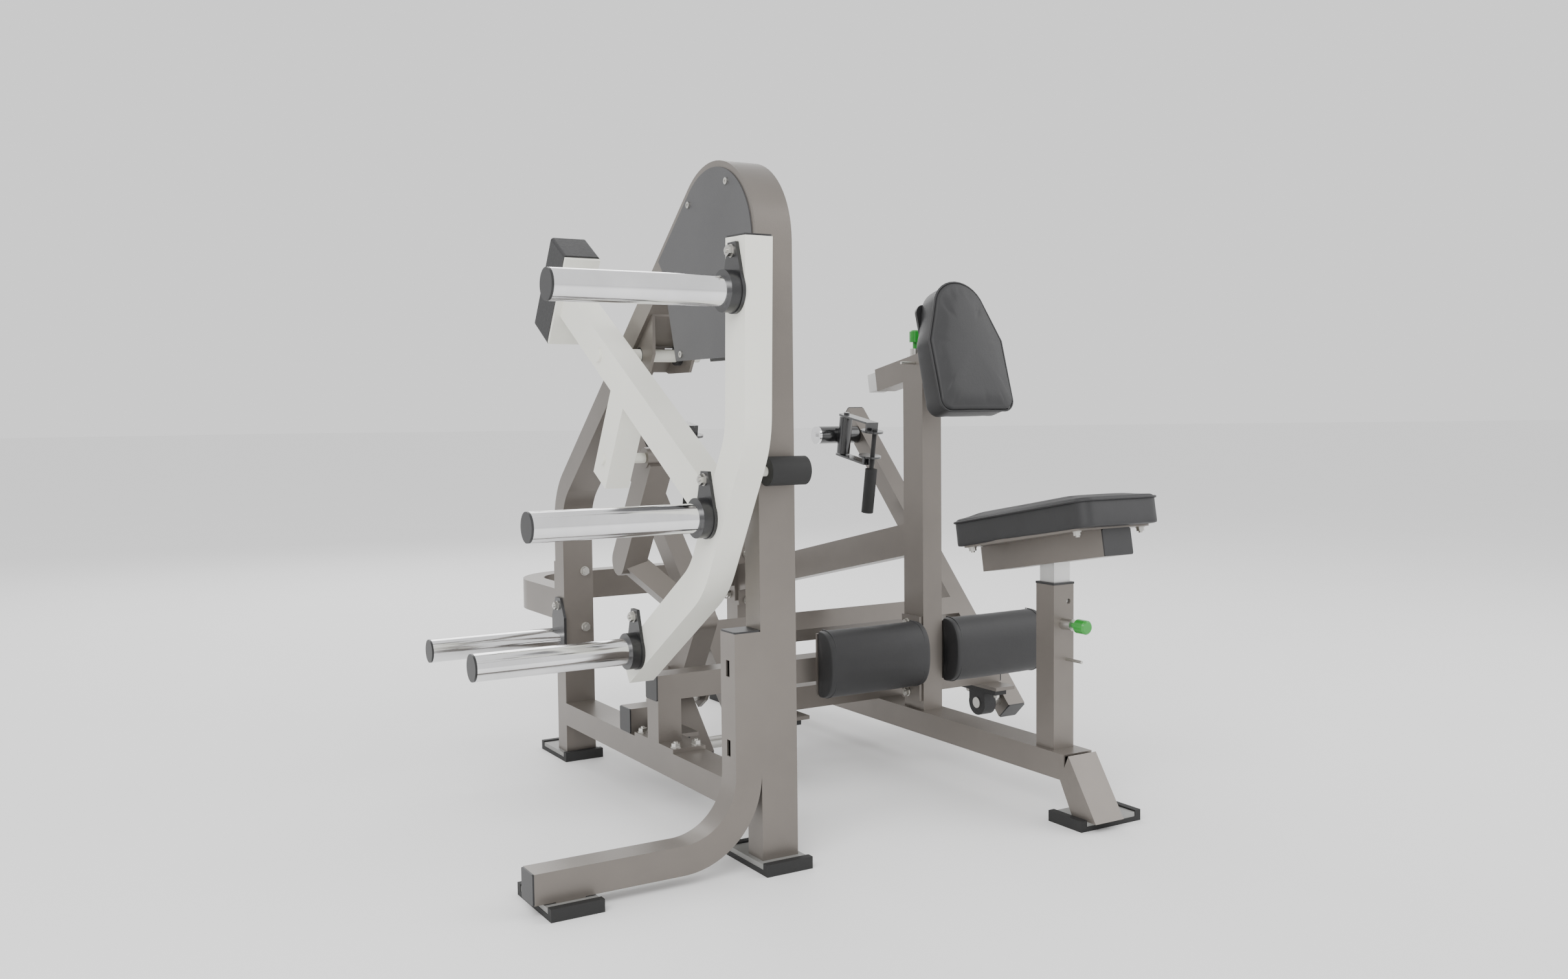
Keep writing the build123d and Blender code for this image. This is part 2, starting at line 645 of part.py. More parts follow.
# ---------------------------------------------------------------- seat and chest
def make_seat():
    y = seat_y
    c = math.cos(math.radians(seat_tilt))
    s = math.sin(math.radians(seat_tilt))
    post = tube([(0, y, 250), (0, y, 535)], inner_post, inner_post)
    mid = 516.0 + post_top - 447
    start = (y - 165, mid + 165 * s / c - 5)
    finish = (y + 177, mid - 177 * s / c - 5)
    beam = tube([(0, start[0], start[1]), (0, finish[0], finish[1])], wide_side, box_side)
    block = solid_run([(0, start[0], start[1]), (0, finish[0], finish[1])], wide_side, box_side, 0, (1, 0, 0))
    post = post - block
    post = post.solids().sort_by(Axis.Z)[0]
    for k in range(5):
        z = post_top - 75 - 34 * k
        post -= rod((0, y, z), (0, y - 30, z), 5.4)
    keep("seat_inner_post", post)
    keep("seat_beam_cap", cap_at((0, start[0], start[1]), (0, -c, s), wide_side, box_side))
    deck = Plane(origin=(0, y, mid - 5), x_dir=(1, 0, 0), z_dir=(0, s, c)).offset(25)
    plate = extrude(deck * RectangleRounded(180, 340, 12), 6)
    keep("seat_beam", beam + plate)
    cushion = extrude(deck.offset(6) * (Pos(0, -1) * RectangleRounded(192, 392, 22)), 60)
    keep("seat_cushion", fillet(cushion.faces().sort_by(Axis.Z)[-1].edges(), 14))
    heads = []
    for u in (-78, 78):
        for v in (-152, 152):
            spot = (deck * Pos(u, v, 0)).position
            heads.append(bolt_at(tuple(spot), (0, -s, -c), 13, 6))
    keep("seat_bolts", group(heads))


def make_chest(mid, pin_y, top):
    s = math.sin(math.radians(chest_tilt))
    c = math.cos(math.radians(chest_tilt))
    rear = along(mid[0], mid[1], 180 - chest_tilt, -159)
    front = along(mid[0], mid[1], 180 - chest_tilt, 120)
    slide = tube([(0, front[0], front[1]), (0, rear[0], rear[1])], inner_post, inner_post)
    for k in range(4):
        y = pin_y + 32 * k
        slide -= rod((0, y, top - 25 - k * 32 * s / c), (0, y, top + 20), 5.6)
    keep("chest_slide", slide)
    pull = rod((0, pin_y, top - 3), (0, pin_y, top + 34), 5.2 - run_gap)
    knob = rod((0, pin_y, top + 34), (0, pin_y, top + 60), 12.5)
    keep("chest_pull_pin", pull + chamfer(knob.edges().sort_by(Axis.Z)[-1], 3))
    lean = math.radians(pad_tilt)
    nose = (front[0], front[1])
    pad_plane = Plane(origin=(0, nose[0], nose[1]), x_dir=(1, 0, 0),
                      z_dir=(0, -math.cos(lean), math.sin(lean)))
    socket = extrude(pad_plane.offset(-4) * Rectangle(60, 90), 10)
    socket += extrude(pad_plane.offset(6) * RectangleRounded(150, 220, 20), 6)
    socket -= tube([(0, front[0], front[1]), (0, rear[0], rear[1])], inner_post, inner_post)
    keep("chest_backing", socket)
    low = -140 + 2
    high = 142 + 2
    sides = [
        Line((-95, high - 128), (-95, low + 25)),
        RadiusArc((-95, low + 25), (-70, low), -25),
        Line((-70, low), (70, low)),
        RadiusArc((70, low), (95, low + 25), -25),
        Line((95, low + 25), (95, high - 128)),
        Line((95, high - 128), (60, high - 45)),
        ThreePointArc((60, high - 45), (0, high), (-60, high - 45)),
        Line((-60, high - 45), (-95, high - 128)),
    ]
    face = make_face(sides)
    pad = extrude(pad_plane.offset(12) * face, 62, dir=pad_plane.z_dir)
    keep("chest_pad", pad)


# ---------------------------------------------------------------- trim
def make_trim(collar):
    face = -tower_x - 35
    peg_y = tower_back - 25
    flange = slab([(peg_y - 36, 225), (peg_y - 36, 325), (peg_y - 14, 368), (peg_y + 14, 368),
                   (peg_y + 36, 325), (peg_y + 36, 225), (peg_y + 14, 200), (peg_y - 14, 200)],
                  face - 6, face)
    spigot = horn_r - 3
    keep("storage_flange", flange - rod((face - 9, peg_y, 275), (face + 5, peg_y, 275), spigot))
    horn = rod((face - 298, peg_y, 275), (face - 6, peg_y, 275), horn_r)
    horn += rod((face - 6, peg_y, 275), (face, peg_y, 275), spigot)
    keep("storage_horn", horn - rod((face - 300, peg_y, 275), (face + 5, peg_y, 275), spigot - 6))
    storage_cap = rod((face - 302, peg_y, 275), (face - 298, peg_y, 275), horn_r)
    storage_cap += rod((face - 298, peg_y, 275), (face - 284, peg_y, 275), spigot - 6.2)
    x = -tower_x - 60
    near = tower_front + 25
    caps = [
        cap_at((x, near, lever_z - 484), (0, 0, 1), box_side, box_side),
        cap_at((x - 384, near, 45), (-1, 0, 0), box_side, box_side, (0, 1, 0)),
        cap_at((-tower_x - 32, shaft_y, 155), (-1, 0, 0), box_side, box_side, (0, 1, 0)),
        cap_at((-tower_x + 41, shaft_y, 155), (1, 0, 0), box_side, box_side, (0, 1, 0)),
        cap_at((-319, shaft_y, 155), (-1, 0, 0), box_side, box_side, (0, 1, 0)),
        cap_at((319, shaft_y, 155), (1, 0, 0), box_side, box_side, (0, 1, 0)),
        cap_at((290, chest_y + 12, 245), (1, 0, 0), box_side, box_side, (0, 1, 0)),
        cap_at((-tower_x - 35, chest_y + 12, 245), (-1, 0, 0), box_side, box_side, (0, 1, 0)),
    ]
    caps.append(cap_at((0, rear_post_y, 470), (0, 0, 1), box_side, 60))
    caps.append(storage_cap)
    caps.append(collar)
    keep("tube_caps", group(caps))
    bolts = []
    for y in (chest_y - 62, chest_y + 88):
        for x in (-tower_x - 22, -tower_x + 22):
            bolts.append(bolt_at((x, y, spine_top + 8), (0, 0, 1)))
    for z in (165, 317):
        bolts.append(bolt_at((-33, chest_y + 12, z), (-1, 0, 0)))
    for z in (300, 427):
        bolts.append(bolt_at((-tower_x + 15, tower_back - 50, z), (0, -1, 0)))
    for z in (290, 410):
        bolts.append(bolt_at((-33, rear_post_y, z), (-1, 0, 0)))
    for z in (275, 400):
        bolts.append(bolt_at((0, rear_post_y - 38, z), (0, -1, 0)))
    for x in block_xs:
        for y in (shaft_y - 52, shaft_y + 52):
            bolts.append(bolt_at((x, y, 108), (0, 0, -1), 13, 6))
    for z in (226, 350):
        bolts.append(bolt_at((face - 6, peg_y, z), (-1, 0, 0)))
    keep("frame_bolts", group(bolts))


first = make_tower()
make_covers()
make_feet()
make_outrigger()
rail_stub = make_foot_rail()
make_spine()
make_rear()
chest_mid, chest_pin_y, chest_pin_top, chest_housing = make_chest_post(rail_stub)
post_collar = make_seat_post(chest_housing)
make_cross_bars()
crank_place, hub_place = make_handle_frame()
left_places = make_grip("left", -1, hub_place)
right_places = make_grip("right", 1, hub_place)
lever_place, pin_place, roller_place = make_lever()
make_lever_bearings(first)
make_link(pin_place, crank_place)
make_seat()
make_chest(chest_mid, chest_pin_y, chest_pin_top)
make_trim(post_collar)

bounds = None
for shape in kept.values():
    extent = shape.bounding_box()
    bounds = extent if bounds is None else bounds.add(extent)
shift = (-(bounds.min.X + bounds.max.X) / 2, -(bounds.min.Y + bounds.max.Y) / 2, -bounds.min.Z)

for name, shape in kept.items():
    export_step(Pos(*shift) * shape, "parts/" + name + ".step")
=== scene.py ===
import bpy
import bmesh
import json
import math
from mathutils import Matrix, Vector
from bpy.props import FloatProperty, FloatVectorProperty, PointerProperty


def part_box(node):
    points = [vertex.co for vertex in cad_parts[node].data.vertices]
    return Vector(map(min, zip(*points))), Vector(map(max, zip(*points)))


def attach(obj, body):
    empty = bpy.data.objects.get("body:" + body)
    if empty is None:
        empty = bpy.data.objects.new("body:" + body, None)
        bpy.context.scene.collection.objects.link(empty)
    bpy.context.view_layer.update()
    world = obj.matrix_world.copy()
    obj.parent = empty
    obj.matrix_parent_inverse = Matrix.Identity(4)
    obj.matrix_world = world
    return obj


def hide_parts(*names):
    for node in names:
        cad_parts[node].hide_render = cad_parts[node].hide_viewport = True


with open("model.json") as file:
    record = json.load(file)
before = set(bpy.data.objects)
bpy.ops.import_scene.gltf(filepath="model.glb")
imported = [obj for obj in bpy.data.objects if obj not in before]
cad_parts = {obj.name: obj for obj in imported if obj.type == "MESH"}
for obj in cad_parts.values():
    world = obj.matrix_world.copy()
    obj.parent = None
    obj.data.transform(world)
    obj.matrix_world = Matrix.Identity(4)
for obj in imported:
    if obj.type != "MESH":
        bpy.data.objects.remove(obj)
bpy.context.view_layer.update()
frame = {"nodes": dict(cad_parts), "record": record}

bl_info = {
    "name": "Seated Row Machine",
    "version": (1, 0, 0),
    "blender": (4, 5, 0),
    "location": "View3D > Sidebar > Row Machine",
    "description": "Pads, finishes and stage for a plate-loaded seated row machine",
    "category": "Object",
}

# How the two pads lean, as their CAD solids do.
SEAT_TILT = math.radians(10.0)
CHEST_TILT = math.radians(16.5)

# Upholstery, in metres.
SEAT_HALF_THICK = 0.030
CHEST_HALF_THICK = 0.031
SEAT_CORNER = 0.022
CHEST_CORNER = 0.025
CHEST_HALF_HEIGHT = 0.140
CHEST_HEAD_RADIUS = 0.065
CHEST_SHOULDER_DROP = 0.128
PAD_EDGE = 0.009
POINT_GAP = 0.008
PAD_PUFF = 0.003
FOOT_PUFF = 0.002
FOOT_SEAM_RADIUS = 0.0012
FOOT_SEAM_INSET = 0.013
FOOT_SEAM_SINK = 0.001
END_ROUND = 0.006

# Shares, powers, angles and counts of the pads' meshes.
SEAM_OUT_X = 1.004
SEAM_OUT_Y = 1.002
CORNER_STEPS = 7
HEAD_START = 26
HEAD_TURN = 128
HEAD_STEPS = 12
CROWN_RINGS = 9
FOOT_AROUND = 30
FOOT_BACK = 7
FOOT_SPANS = 24
FOOT_SEAM_STEPS = 24
FOOT_POWER_Y = 0.75
FOOT_POWER_Z = 0.8
END_SHRINK = 0.05

# The cloth that puffs the pads.
CLOTH_PRESSURE = 3.0
CLOTH_FRAMES = 20

# The stage, in metres.
FLOOR_HALF = 60.0
LIGHT_AIM = (0, 0, 0.5)


# ------------------------------------------------------------ materials
def new_material(name):
    material = bpy.data.materials.new(name)
    material.use_nodes = True
    tree = material.node_tree
    shader = tree.nodes["Principled BSDF"]
    coord = tree.nodes.new("ShaderNodeTexCoord")
    return material, tree, shader, coord


def noise(tree, coord, scale, detail=3.0, rough=0.5):
    node = tree.nodes.new("ShaderNodeTexNoise")
    node.inputs["Scale"].default_value = scale
    node.inputs["Detail"].default_value = detail
    node.inputs["Roughness"].default_value = rough
    tree.links.new(coord.outputs["Object"], node.inputs["Vector"])
    return node


def ramp(tree, source, low, high, first, last):
    node = tree.nodes.new("ShaderNodeValToRGB")
    node.color_ramp.elements[0].position = low
    node.color_ramp.elements[1].position = high
    node.color_ramp.elements[0].color = (*first, 1)
    node.color_ramp.elements[1].color = (*last, 1)
    tree.links.new(source, node.inputs["Fac"])
    return node


def bump(tree, shader, source, strength, distance):
    node = tree.nodes.new("ShaderNodeBump")
    node.inputs["Strength"].default_value = strength
    node.inputs["Distance"].default_value = distance
    tree.links.new(source, node.inputs["Height"])
    tree.links.new(node.outputs["Normal"], shader.inputs["Normal"])
    return node


def rough_by(tree, shader, source, low, high):
    node = tree.nodes.new("ShaderNodeMapRange")
    node.inputs["To Min"].default_value = low
    node.inputs["To Max"].default_value = high
    tree.links.new(source, node.inputs["Value"])
    tree.links.new(node.outputs["Result"], shader.inputs["Roughness"])


def tint(color, factor):
    return tuple(min(1.0, c * factor) for c in color)


def powder_coat(name, color, grain, depth, rough, metal=0.0, coat=0.0, vary=0.10):
    """Baked powder paint: fine orange peel with slow tone changes."""
    material, tree, shader, coord = new_material(name)
    broad = noise(tree, coord, 3.5, 4.0, 0.6)
    fine = noise(tree, coord, grain, 2.0, 0.5)
    tone = ramp(tree, broad.outputs["Fac"], 0.3, 0.7, tint(color, 1 - vary), tint(color, 1 + vary))
    tree.links.new(tone.outputs["Color"], shader.inputs["Base Color"])
    shader.inputs["Metallic"].default_value = metal
    shader.inputs["Coat Weight"].default_value = coat
    shader.inputs["Coat Roughness"].default_value = 0.25
    rough_by(tree, shader, fine.outputs["Fac"], rough - 0.06, rough + 0.06)
    bump(tree, shader, fine.outputs["Fac"], 0.35, depth)
    return material


def plated(name, color, rough, scratch):
    """Bright metal with faint rub marks."""
    material, tree, shader, coord = new_material(name)
    stretch = tree.nodes.new("ShaderNodeMapping")
    stretch.inputs["Scale"].default_value = (6.0, 90.0, 90.0)
    tree.links.new(coord.outputs["Object"], stretch.inputs["Vector"])
    marks = tree.nodes.new("ShaderNodeTexNoise")
    marks.inputs["Scale"].default_value = 6.0
    marks.inputs["Detail"].default_value = 5.0
    tree.links.new(stretch.outputs["Vector"], marks.inputs["Vector"])
    cloud = noise(tree, coord, 14.0, 4.0)
    tone = ramp(tree, cloud.outputs["Fac"], 0.3, 0.75, tint(color, 0.9), tint(color, 1.05))
    tree.links.new(tone.outputs["Color"], shader.inputs["Base Color"])
    shader.inputs["Metallic"].default_value = 1.0
    rough_by(tree, shader, marks.outputs["Fac"], rough, rough + 0.12)
    bump(tree, shader, marks.outputs["Fac"], scratch, 0.0001)
    return material


def moulded(name, color, rough, grain, coat=0.0):
    """Moulded plastic or rubber with a fine pebble."""
    material, tree, shader, coord = new_material(name)
    pebble = tree.nodes.new("ShaderNodeTexVoronoi")
    pebble.inputs["Scale"].default_value = grain
    tree.links.new(coord.outputs["Object"], pebble.inputs["Vector"])
    dust = noise(tree, coord, 9.0, 5.0, 0.65)
    tone = ramp(tree, dust.outputs["Fac"], 0.35, 0.8, color, tint(color, 1.6))
    tree.links.new(tone.outputs["Color"], shader.inputs["Base Color"])
    shader.inputs["Coat Weight"].default_value = coat
    rough_by(tree, shader, dust.outputs["Fac"], rough - 0.05, rough + 0.08)
    bump(tree, shader, pebble.outputs["Distance"], 0.25, 0.0002)
    return material


def vinyl(name, color):
    """Upholstery vinyl: small leather cells over soft creasing."""
    material, tree, shader, coord = new_material(name)
    cells = tree.nodes.new("ShaderNodeTexVoronoi")
    cells.feature = "DISTANCE_TO_EDGE"
    cells.inputs["Scale"].default_value = 620.0
    warp = noise(tree, coord, 160.0, 3.0)
    tree.links.new(coord.outputs["Object"], cells.inputs["Vector"])
    mix = tree.nodes.new("ShaderNodeMath")
    mix.operation = "ADD"
    tree.links.new(cells.outputs["Distance"], mix.inputs[0])
    tree.links.new(warp.outputs["Fac"], mix.inputs[1])
    wear = noise(tree, coord, 6.0, 5.0, 0.6)
    tone = ramp(tree, wear.outputs["Fac"], 0.35, 0.75, color, tint(color, 1.5))
    tree.links.new(tone.outputs["Color"], shader.inputs["Base Color"])
    rough_by(tree, shader, wear.outputs["Fac"], 0.46, 0.6)
    bump(tree, shader, mix.outputs["Value"], 0.4, 0.0004)
    return material


def make_finishes(colors):
    """One finish for each material slot of the record."""
    return {
        "bronze_paint": powder_coat("bronze paint", colors.bronze, 650, 0.0004, 0.38, 0.55, 0.2),
        "cream_paint": powder_coat("cream paint", colors.cream, 900, 0.0006, 0.55, 0.0, 0.0, 0.03),
        "cream_pin": powder_coat("cream shaft paint", colors.cream, 700, 0.0003, 0.45, 0.0, 0.1, 0.03),
        "grey_cover": powder_coat("cover paint", (0.07, 0.07, 0.072), 500, 0.0002, 0.5),
        "grey_paint": powder_coat("foot paint", (0.27, 0.27, 0.26), 600, 0.0003, 0.45, 0.3),
        "black_paint": powder_coat("black paint", (0.014, 0.014, 0.015), 500, 0.0002, 0.35, 0.0, 0.2),
        "black_gloss": powder_coat("gloss enamel", (0.01, 0.01, 0.011), 300, 0.0001, 0.16, 0.0, 0.8),
        "cast_black": powder_coat("black casting", (0.016, 0.016, 0.017), 220, 0.0012, 0.55),
        "zinc_steel": plated("zinc plate", (0.58, 0.57, 0.54), 0.28, 0.15),
        "satin_steel": plated("satin steel", (0.66, 0.66, 0.65), 0.34, 0.2),
        "chrome": plated("chrome", (0.82, 0.82, 0.83), 0.06, 0.04),
        "black_plastic": moulded("cap plastic", (0.014, 0.014, 0.015), 0.42, 700),
        "black_rubber": moulded("foot rubber", (0.011, 0.011, 0.011), 0.68, 500),
        "green_plastic": moulded("knob plastic", (0.012, 0.21, 0.02), 0.3, 600, 0.3),
        "black_vinyl": vinyl("pad vinyl", (0.017, 0.017, 0.018)),
    }


# ------------------------------------------------------------ mesh helpers
def smooth_object(mesh, name):
    obj = bpy.data.objects.new(name, mesh)
    bpy.context.scene.collection.objects.link(obj)
    for face in mesh.polygons:
        face.use_smooth = True
    return obj


def object_from(mesh_builder, name):
    mesh = bpy.data.meshes.new(name)
    mesh_builder.to_mesh(mesh)
    mesh_builder.free()
    return smooth_object(mesh, name)


def arc(centre_x, centre_y, radius, start, turn, steps):
    """Points of a round stretch, with its start and turn in degrees."""
    points = []
    for k in range(steps + 1):
        a = math.radians(start + turn * k / steps)
        points.append((centre_x + radius * math.cos(a), centre_y + radius * math.sin(a)))
    return points


def rounded_outline(half_x, half_y, corner):
    """Rectangle with round corners, counter-clockwise."""
    points = []
    for sx, sy, start in ((1, 1, 0), (-1, 1, 90), (-1, -1, 180), (1, -1, 270)):
        points += arc(sx * (half_x - corner), sy * (half_y - corner), corner, start, 90, CORNER_STEPS)
    return points


def chest_outline(half):
    """Tombstone: round lower corners, and a head narrower than the body."""
    foot = -CHEST_HALF_HEIGHT + CHEST_CORNER
    shoulder = CHEST_HALF_HEIGHT - CHEST_SHOULDER_DROP
    head = CHEST_HALF_HEIGHT - CHEST_HEAD_RADIUS
    right = arc(half - CHEST_CORNER, foot, CHEST_CORNER, 270, 90, CORNER_STEPS)
    top = arc(0, head, CHEST_HEAD_RADIUS, HEAD_START, HEAD_TURN, HEAD_STEPS)
    left = arc(-half + CHEST_CORNER, foot, CHEST_CORNER, 180, 90, CORNER_STEPS)
    return right + [(half, shoulder)] + top + [(-half, shoulder)] + left


def spread(points):
    """A closed outline with points added along its long sides."""
    out = []
    for (x0, y0), (x1, y1) in zip(points, points[1:] + points[:1]):
        count = max(1, round(math.hypot(x1 - x0, y1 - y0) / POINT_GAP))
        for k in range(count):
            t = k / count
            out.append((x0 + (x1 - x0) * t, y0 + (y1 - y0) * t))
    return out


def side_profile(thick):
    """The pad's side as (inset, height), from the backing face to the top of its rounded edge."""
    edge = PAD_EDGE
    profile = [(edge * 0.7, 0.0), (edge * 0.1, edge * 0.12), (0.0, edge * 0.5), (edge * 0.06, thick * 0.45)]
    for k in range(CORNER_STEPS + 1):
        a = math.pi / 2 * k / CORNER_STEPS
        profile.append((edge * (1 - math.cos(a)), thick - edge + edge * math.sin(a)))
    return profile


def pad_mesh(outline, thick, crown, place, name):
    """A crowned pad: rings from the backing face, round the side, to the crown."""
    work = bmesh.new()
    count = len(outline)
    profile = side_profile(thick)
    rings = []
    for inset, height in profile:
        factor = []
        for x, y in outline:
            size = math.hypot(x, y)
            factor.append(max(0.0, (size - inset) / size))
        rings.append([work.verts.new(place @ Vector((x * f, y * f, height)))
                      for (x, y), f in zip(outline, factor)])
    rim = profile[-1][0]
    for k in range(1, CROWN_RINGS):
        f = 1 - k / CROWN_RINGS
        lift = crown * (1 - f * f)
        ring_points = []
        for x, y in outline:
            size = math.hypot(x, y)
            s = (size - rim) / size * f
            ring_points.append(work.verts.new(place @ Vector((x * s, y * s, thick + lift))))
        rings.append(ring_points)
    for a, b in zip(rings, rings[1:]):
        for k in range(count):
            n = (k + 1) % count
            work.faces.new((a[k], a[n], b[n], b[k]))
    top = work.verts.new(place @ Vector((0, 0, thick + crown)))
    base = work.verts.new(place @ Vector((0, 0, 0)))
    for k in range(count):
        n = (k + 1) % count
        work.faces.new((rings[-1][k], rings[-1][n], top))
        work.faces.new((rings[0][n], rings[0][k], base))
    bmesh.ops.recalc_face_normals(work, faces=work.faces)
    return object_from(work, name)


def inflate(obj, cap):
    """Cloth under slight air pressure, its movement capped, applied to the mesh."""
    start = [v.co.copy() for v in obj.data.vertices]
    cloth = obj.modifiers.new("Cloth", "CLOTH")
    cloth.settings.use_pressure = True
    cloth.settings.uniform_pressure_force = CLOTH_PRESSURE
    cloth.settings.effector_weights.gravity = 0.0
    cloth.settings.tension_stiffness = 40.0
    cloth.settings.quality = 5
    cloth.point_cache.frame_start = 1
    cloth.point_cache.frame_end = CLOTH_FRAMES
    scene = bpy.context.scene
    for step in range(1, CLOTH_FRAMES + 1):
        scene.frame_set(step)
    graph = bpy.context.evaluated_depsgraph_get()
    puffed = obj.evaluated_get(graph).to_mesh()
    moved = [v.co.copy() for v in puffed.vertices]
    obj.evaluated_get(graph).to_mesh_clear()
    obj.modifiers.remove(cloth)
    for vertex, old, new in zip(obj.data.vertices, start, moved):
        step = new - old
        if step.length > cap:
            step = step.normalized() * cap
        vertex.co = old + step
    scene.frame_set(1)


def welt(points, radius, place, name, material):
    """Piped seam along a pad's edge."""
    curve = bpy.data.curves.new(name, "CURVE")
    curve.dimensions = "3D"
    curve.bevel_depth = radius
    curve.bevel_resolution = 3
    spline = curve.splines.new("POLY")
    spline.points.add(len(points) - 1)
    for point, (x, y, z) in zip(spline.points, points):
        point.co = (*(place @ Vector((x, y, z))), 1)
    spline.use_cyclic_u = True
    obj = bpy.data.objects.new(name, curve)
    bpy.context.scene.collection.objects.link(obj)
    graph = bpy.context.evaluated_depsgraph_get()
    mesh = bpy.data.meshes.new_from_object(obj.evaluated_get(graph))
    bpy.data.objects.remove(obj)
    tube = smooth_object(mesh, name)
    mesh.materials.clear()
    mesh.materials.append(material)
    return tube


def seam_line(outline, thick):
    """The seam's path, just outside the outline, where the pad's edge starts to round."""
    return [(x * SEAM_OUT_X, y * SEAM_OUT_Y, thick - PAD_EDGE) for x, y in outline]


# Filled by row.finishes, and read by the pads.
FINISHES = {}


def finish_pad(obj, node, body, cap):
    """Puff, smooth, cover and hook up one pad in place of its plain solid."""
    inflate(obj, cap)
    smooth = obj.modifiers.new("Subdivision", "SUBSURF")
    smooth.levels = 1
    smooth.render_levels = 1
    obj.data.materials.clear()
    obj.data.materials.append(FINISHES["black_vinyl"])
    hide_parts(node)
    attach(obj, body)


def hook_welt(obj, body):
    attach(obj, body)


def middle(node):
    low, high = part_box(node)
    return (Vector(low) + Vector(high)) / 2


def frame_matrix(origin, x_axis, y_axis, z_axis):
    columns = Matrix((x_axis, y_axis, z_axis)).transposed().to_4x4()
    return Matrix.Translation(origin) @ columns


# ------------------------------------------------------------ settings
class RowPads(bpy.types.PropertyGroup):
    seat_width: FloatProperty(name="Seat width", description="Width of the seat cushion",
                              default=0.190, subtype="DISTANCE", unit="LENGTH")
    seat_length: FloatProperty(name="Seat length", description="Length of the seat cushion",
                               default=0.388, subtype="DISTANCE", unit="LENGTH")
    seat_thick: FloatProperty(name="Seat thickness", description="Thickness of the cushion side",
                              default=0.055, subtype="DISTANCE", unit="LENGTH")
    chest_width: FloatProperty(name="Chest pad width", description="Width across the parallel sides",
                               default=0.188, subtype="DISTANCE", unit="LENGTH")
    chest_thick: FloatProperty(name="Chest pad thickness", description="Thickness of the pad side",
                               default=0.058, subtype="DISTANCE", unit="LENGTH")
    crown: FloatProperty(name="Crown", description="Height of the pads' crown above their edge",
                         default=0.006, subtype="DISTANCE", unit="LENGTH")
    welt_radius: FloatProperty(name="Welt radius", description="Radius of the piped seam",
                               default=0.0022, subtype="DISTANCE", unit="LENGTH")


class RowColors(bpy.types.PropertyGroup):
    bronze: FloatVectorProperty(name="Frame paint", description="Taupe metallic paint of the frame",
                                default=(0.178, 0.160, 0.143), subtype="COLOR", size=3)
    cream: FloatVectorProperty(name="Lever paint", description="Cream paint of the moving arms",
                               default=(0.80, 0.80, 0.73), subtype="COLOR", size=3)
    floor: FloatVectorProperty(name="Floor", description="Pale studio floor",
                               default=(0.92, 0.92, 0.92), subtype="COLOR", size=3)


# ------------------------------------------------------------ operators
class ROW_OT_finishes(bpy.types.Operator):
    """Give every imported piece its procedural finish"""
    bl_idname = "row.finishes"
    bl_label = "Frame Finishes"

    def execute(self, context):
        FINISHES.update(make_finishes(context.scene.row_colors))
        for part in frame["record"]["subparts"]:
            obj = frame["nodes"][part["node"]]
            material = FINISHES[part["material_slot"]]
            if not obj.material_slots:
                obj.data.materials.append(material)
            for entry in obj.material_slots:
                entry.link = "OBJECT"
                entry.material = material
        return {"FINISHED"}


class ROW_OT_seat(bpy.types.Operator):
    """Build the tilted seat cushion with its piped edge"""
    bl_idname = "row.seat"
    bl_label = "Seat Cushion"

    def execute(self, context):
        sizes = context.scene.row_pads
        s = math.sin(SEAT_TILT)
        c = math.cos(SEAT_TILT)
        up = Vector((0, s, c))
        base = middle("seat_cushion") - up * SEAT_HALF_THICK
        place = frame_matrix(base, Vector((1, 0, 0)), Vector((0, c, -s)), up)
        outline = rounded_outline(sizes.seat_width / 2, sizes.seat_length / 2, SEAT_CORNER)
        pad = pad_mesh(spread(outline), sizes.seat_thick, sizes.crown, place, "seat_pad")
        finish_pad(pad, "seat_cushion", "seat", PAD_PUFF)
        line = seam_line(outline, sizes.seat_thick)
        seam = welt(line, sizes.welt_radius, place, "seat_seam", FINISHES["black_vinyl"])
        hook_welt(seam, "seat")
        return {"FINISHED"}


class ROW_OT_chest(bpy.types.Operator):
    """Build the tombstone chest pad with its piped edge"""
    bl_idname = "row.chest"
    bl_label = "Chest Pad"

    def execute(self, context):
        sizes = context.scene.row_pads
        s = math.sin(CHEST_TILT)
        c = math.cos(CHEST_TILT)
        out = Vector((0, -c, s))
        base = middle("chest_pad") - out * CHEST_HALF_THICK
        place = frame_matrix(base, Vector((1, 0, 0)), Vector((0, s, c)), out)
        outline = chest_outline(sizes.chest_width / 2)
        pad = pad_mesh(spread(outline), sizes.chest_thick, sizes.crown, place, "chest_cushion")
        finish_pad(pad, "chest_pad", "chest", PAD_PUFF)
        line = seam_line(outline, sizes.chest_thick)
        seam = welt(line, sizes.welt_radius, place, "chest_seam", FINISHES["black_vinyl"])
        hook_welt(seam, "chest")
        return {"FINISHED"}


def half_round(angle, back, deep, middle_z, half_z):
    """The (y, z) at one angle of a foot pad's half-round section."""
    z = middle_z - half_z * math.copysign(abs(math.cos(angle)) ** FOOT_POWER_Z, math.cos(angle))
    y = back - deep * math.sin(angle) ** FOOT_POWER_Y
    return y, z


def end_stations(length):
    """Places along a foot pad, closer together where its ends round off."""
    near = [0.0, 0.0008, 0.002, 0.0038, END_ROUND]
    inner = [END_ROUND + (length - 2 * END_ROUND) * k / FOOT_SPANS for k in range(1, FOOT_SPANS)]
    return near + inner + [length - step for step in reversed(near)]


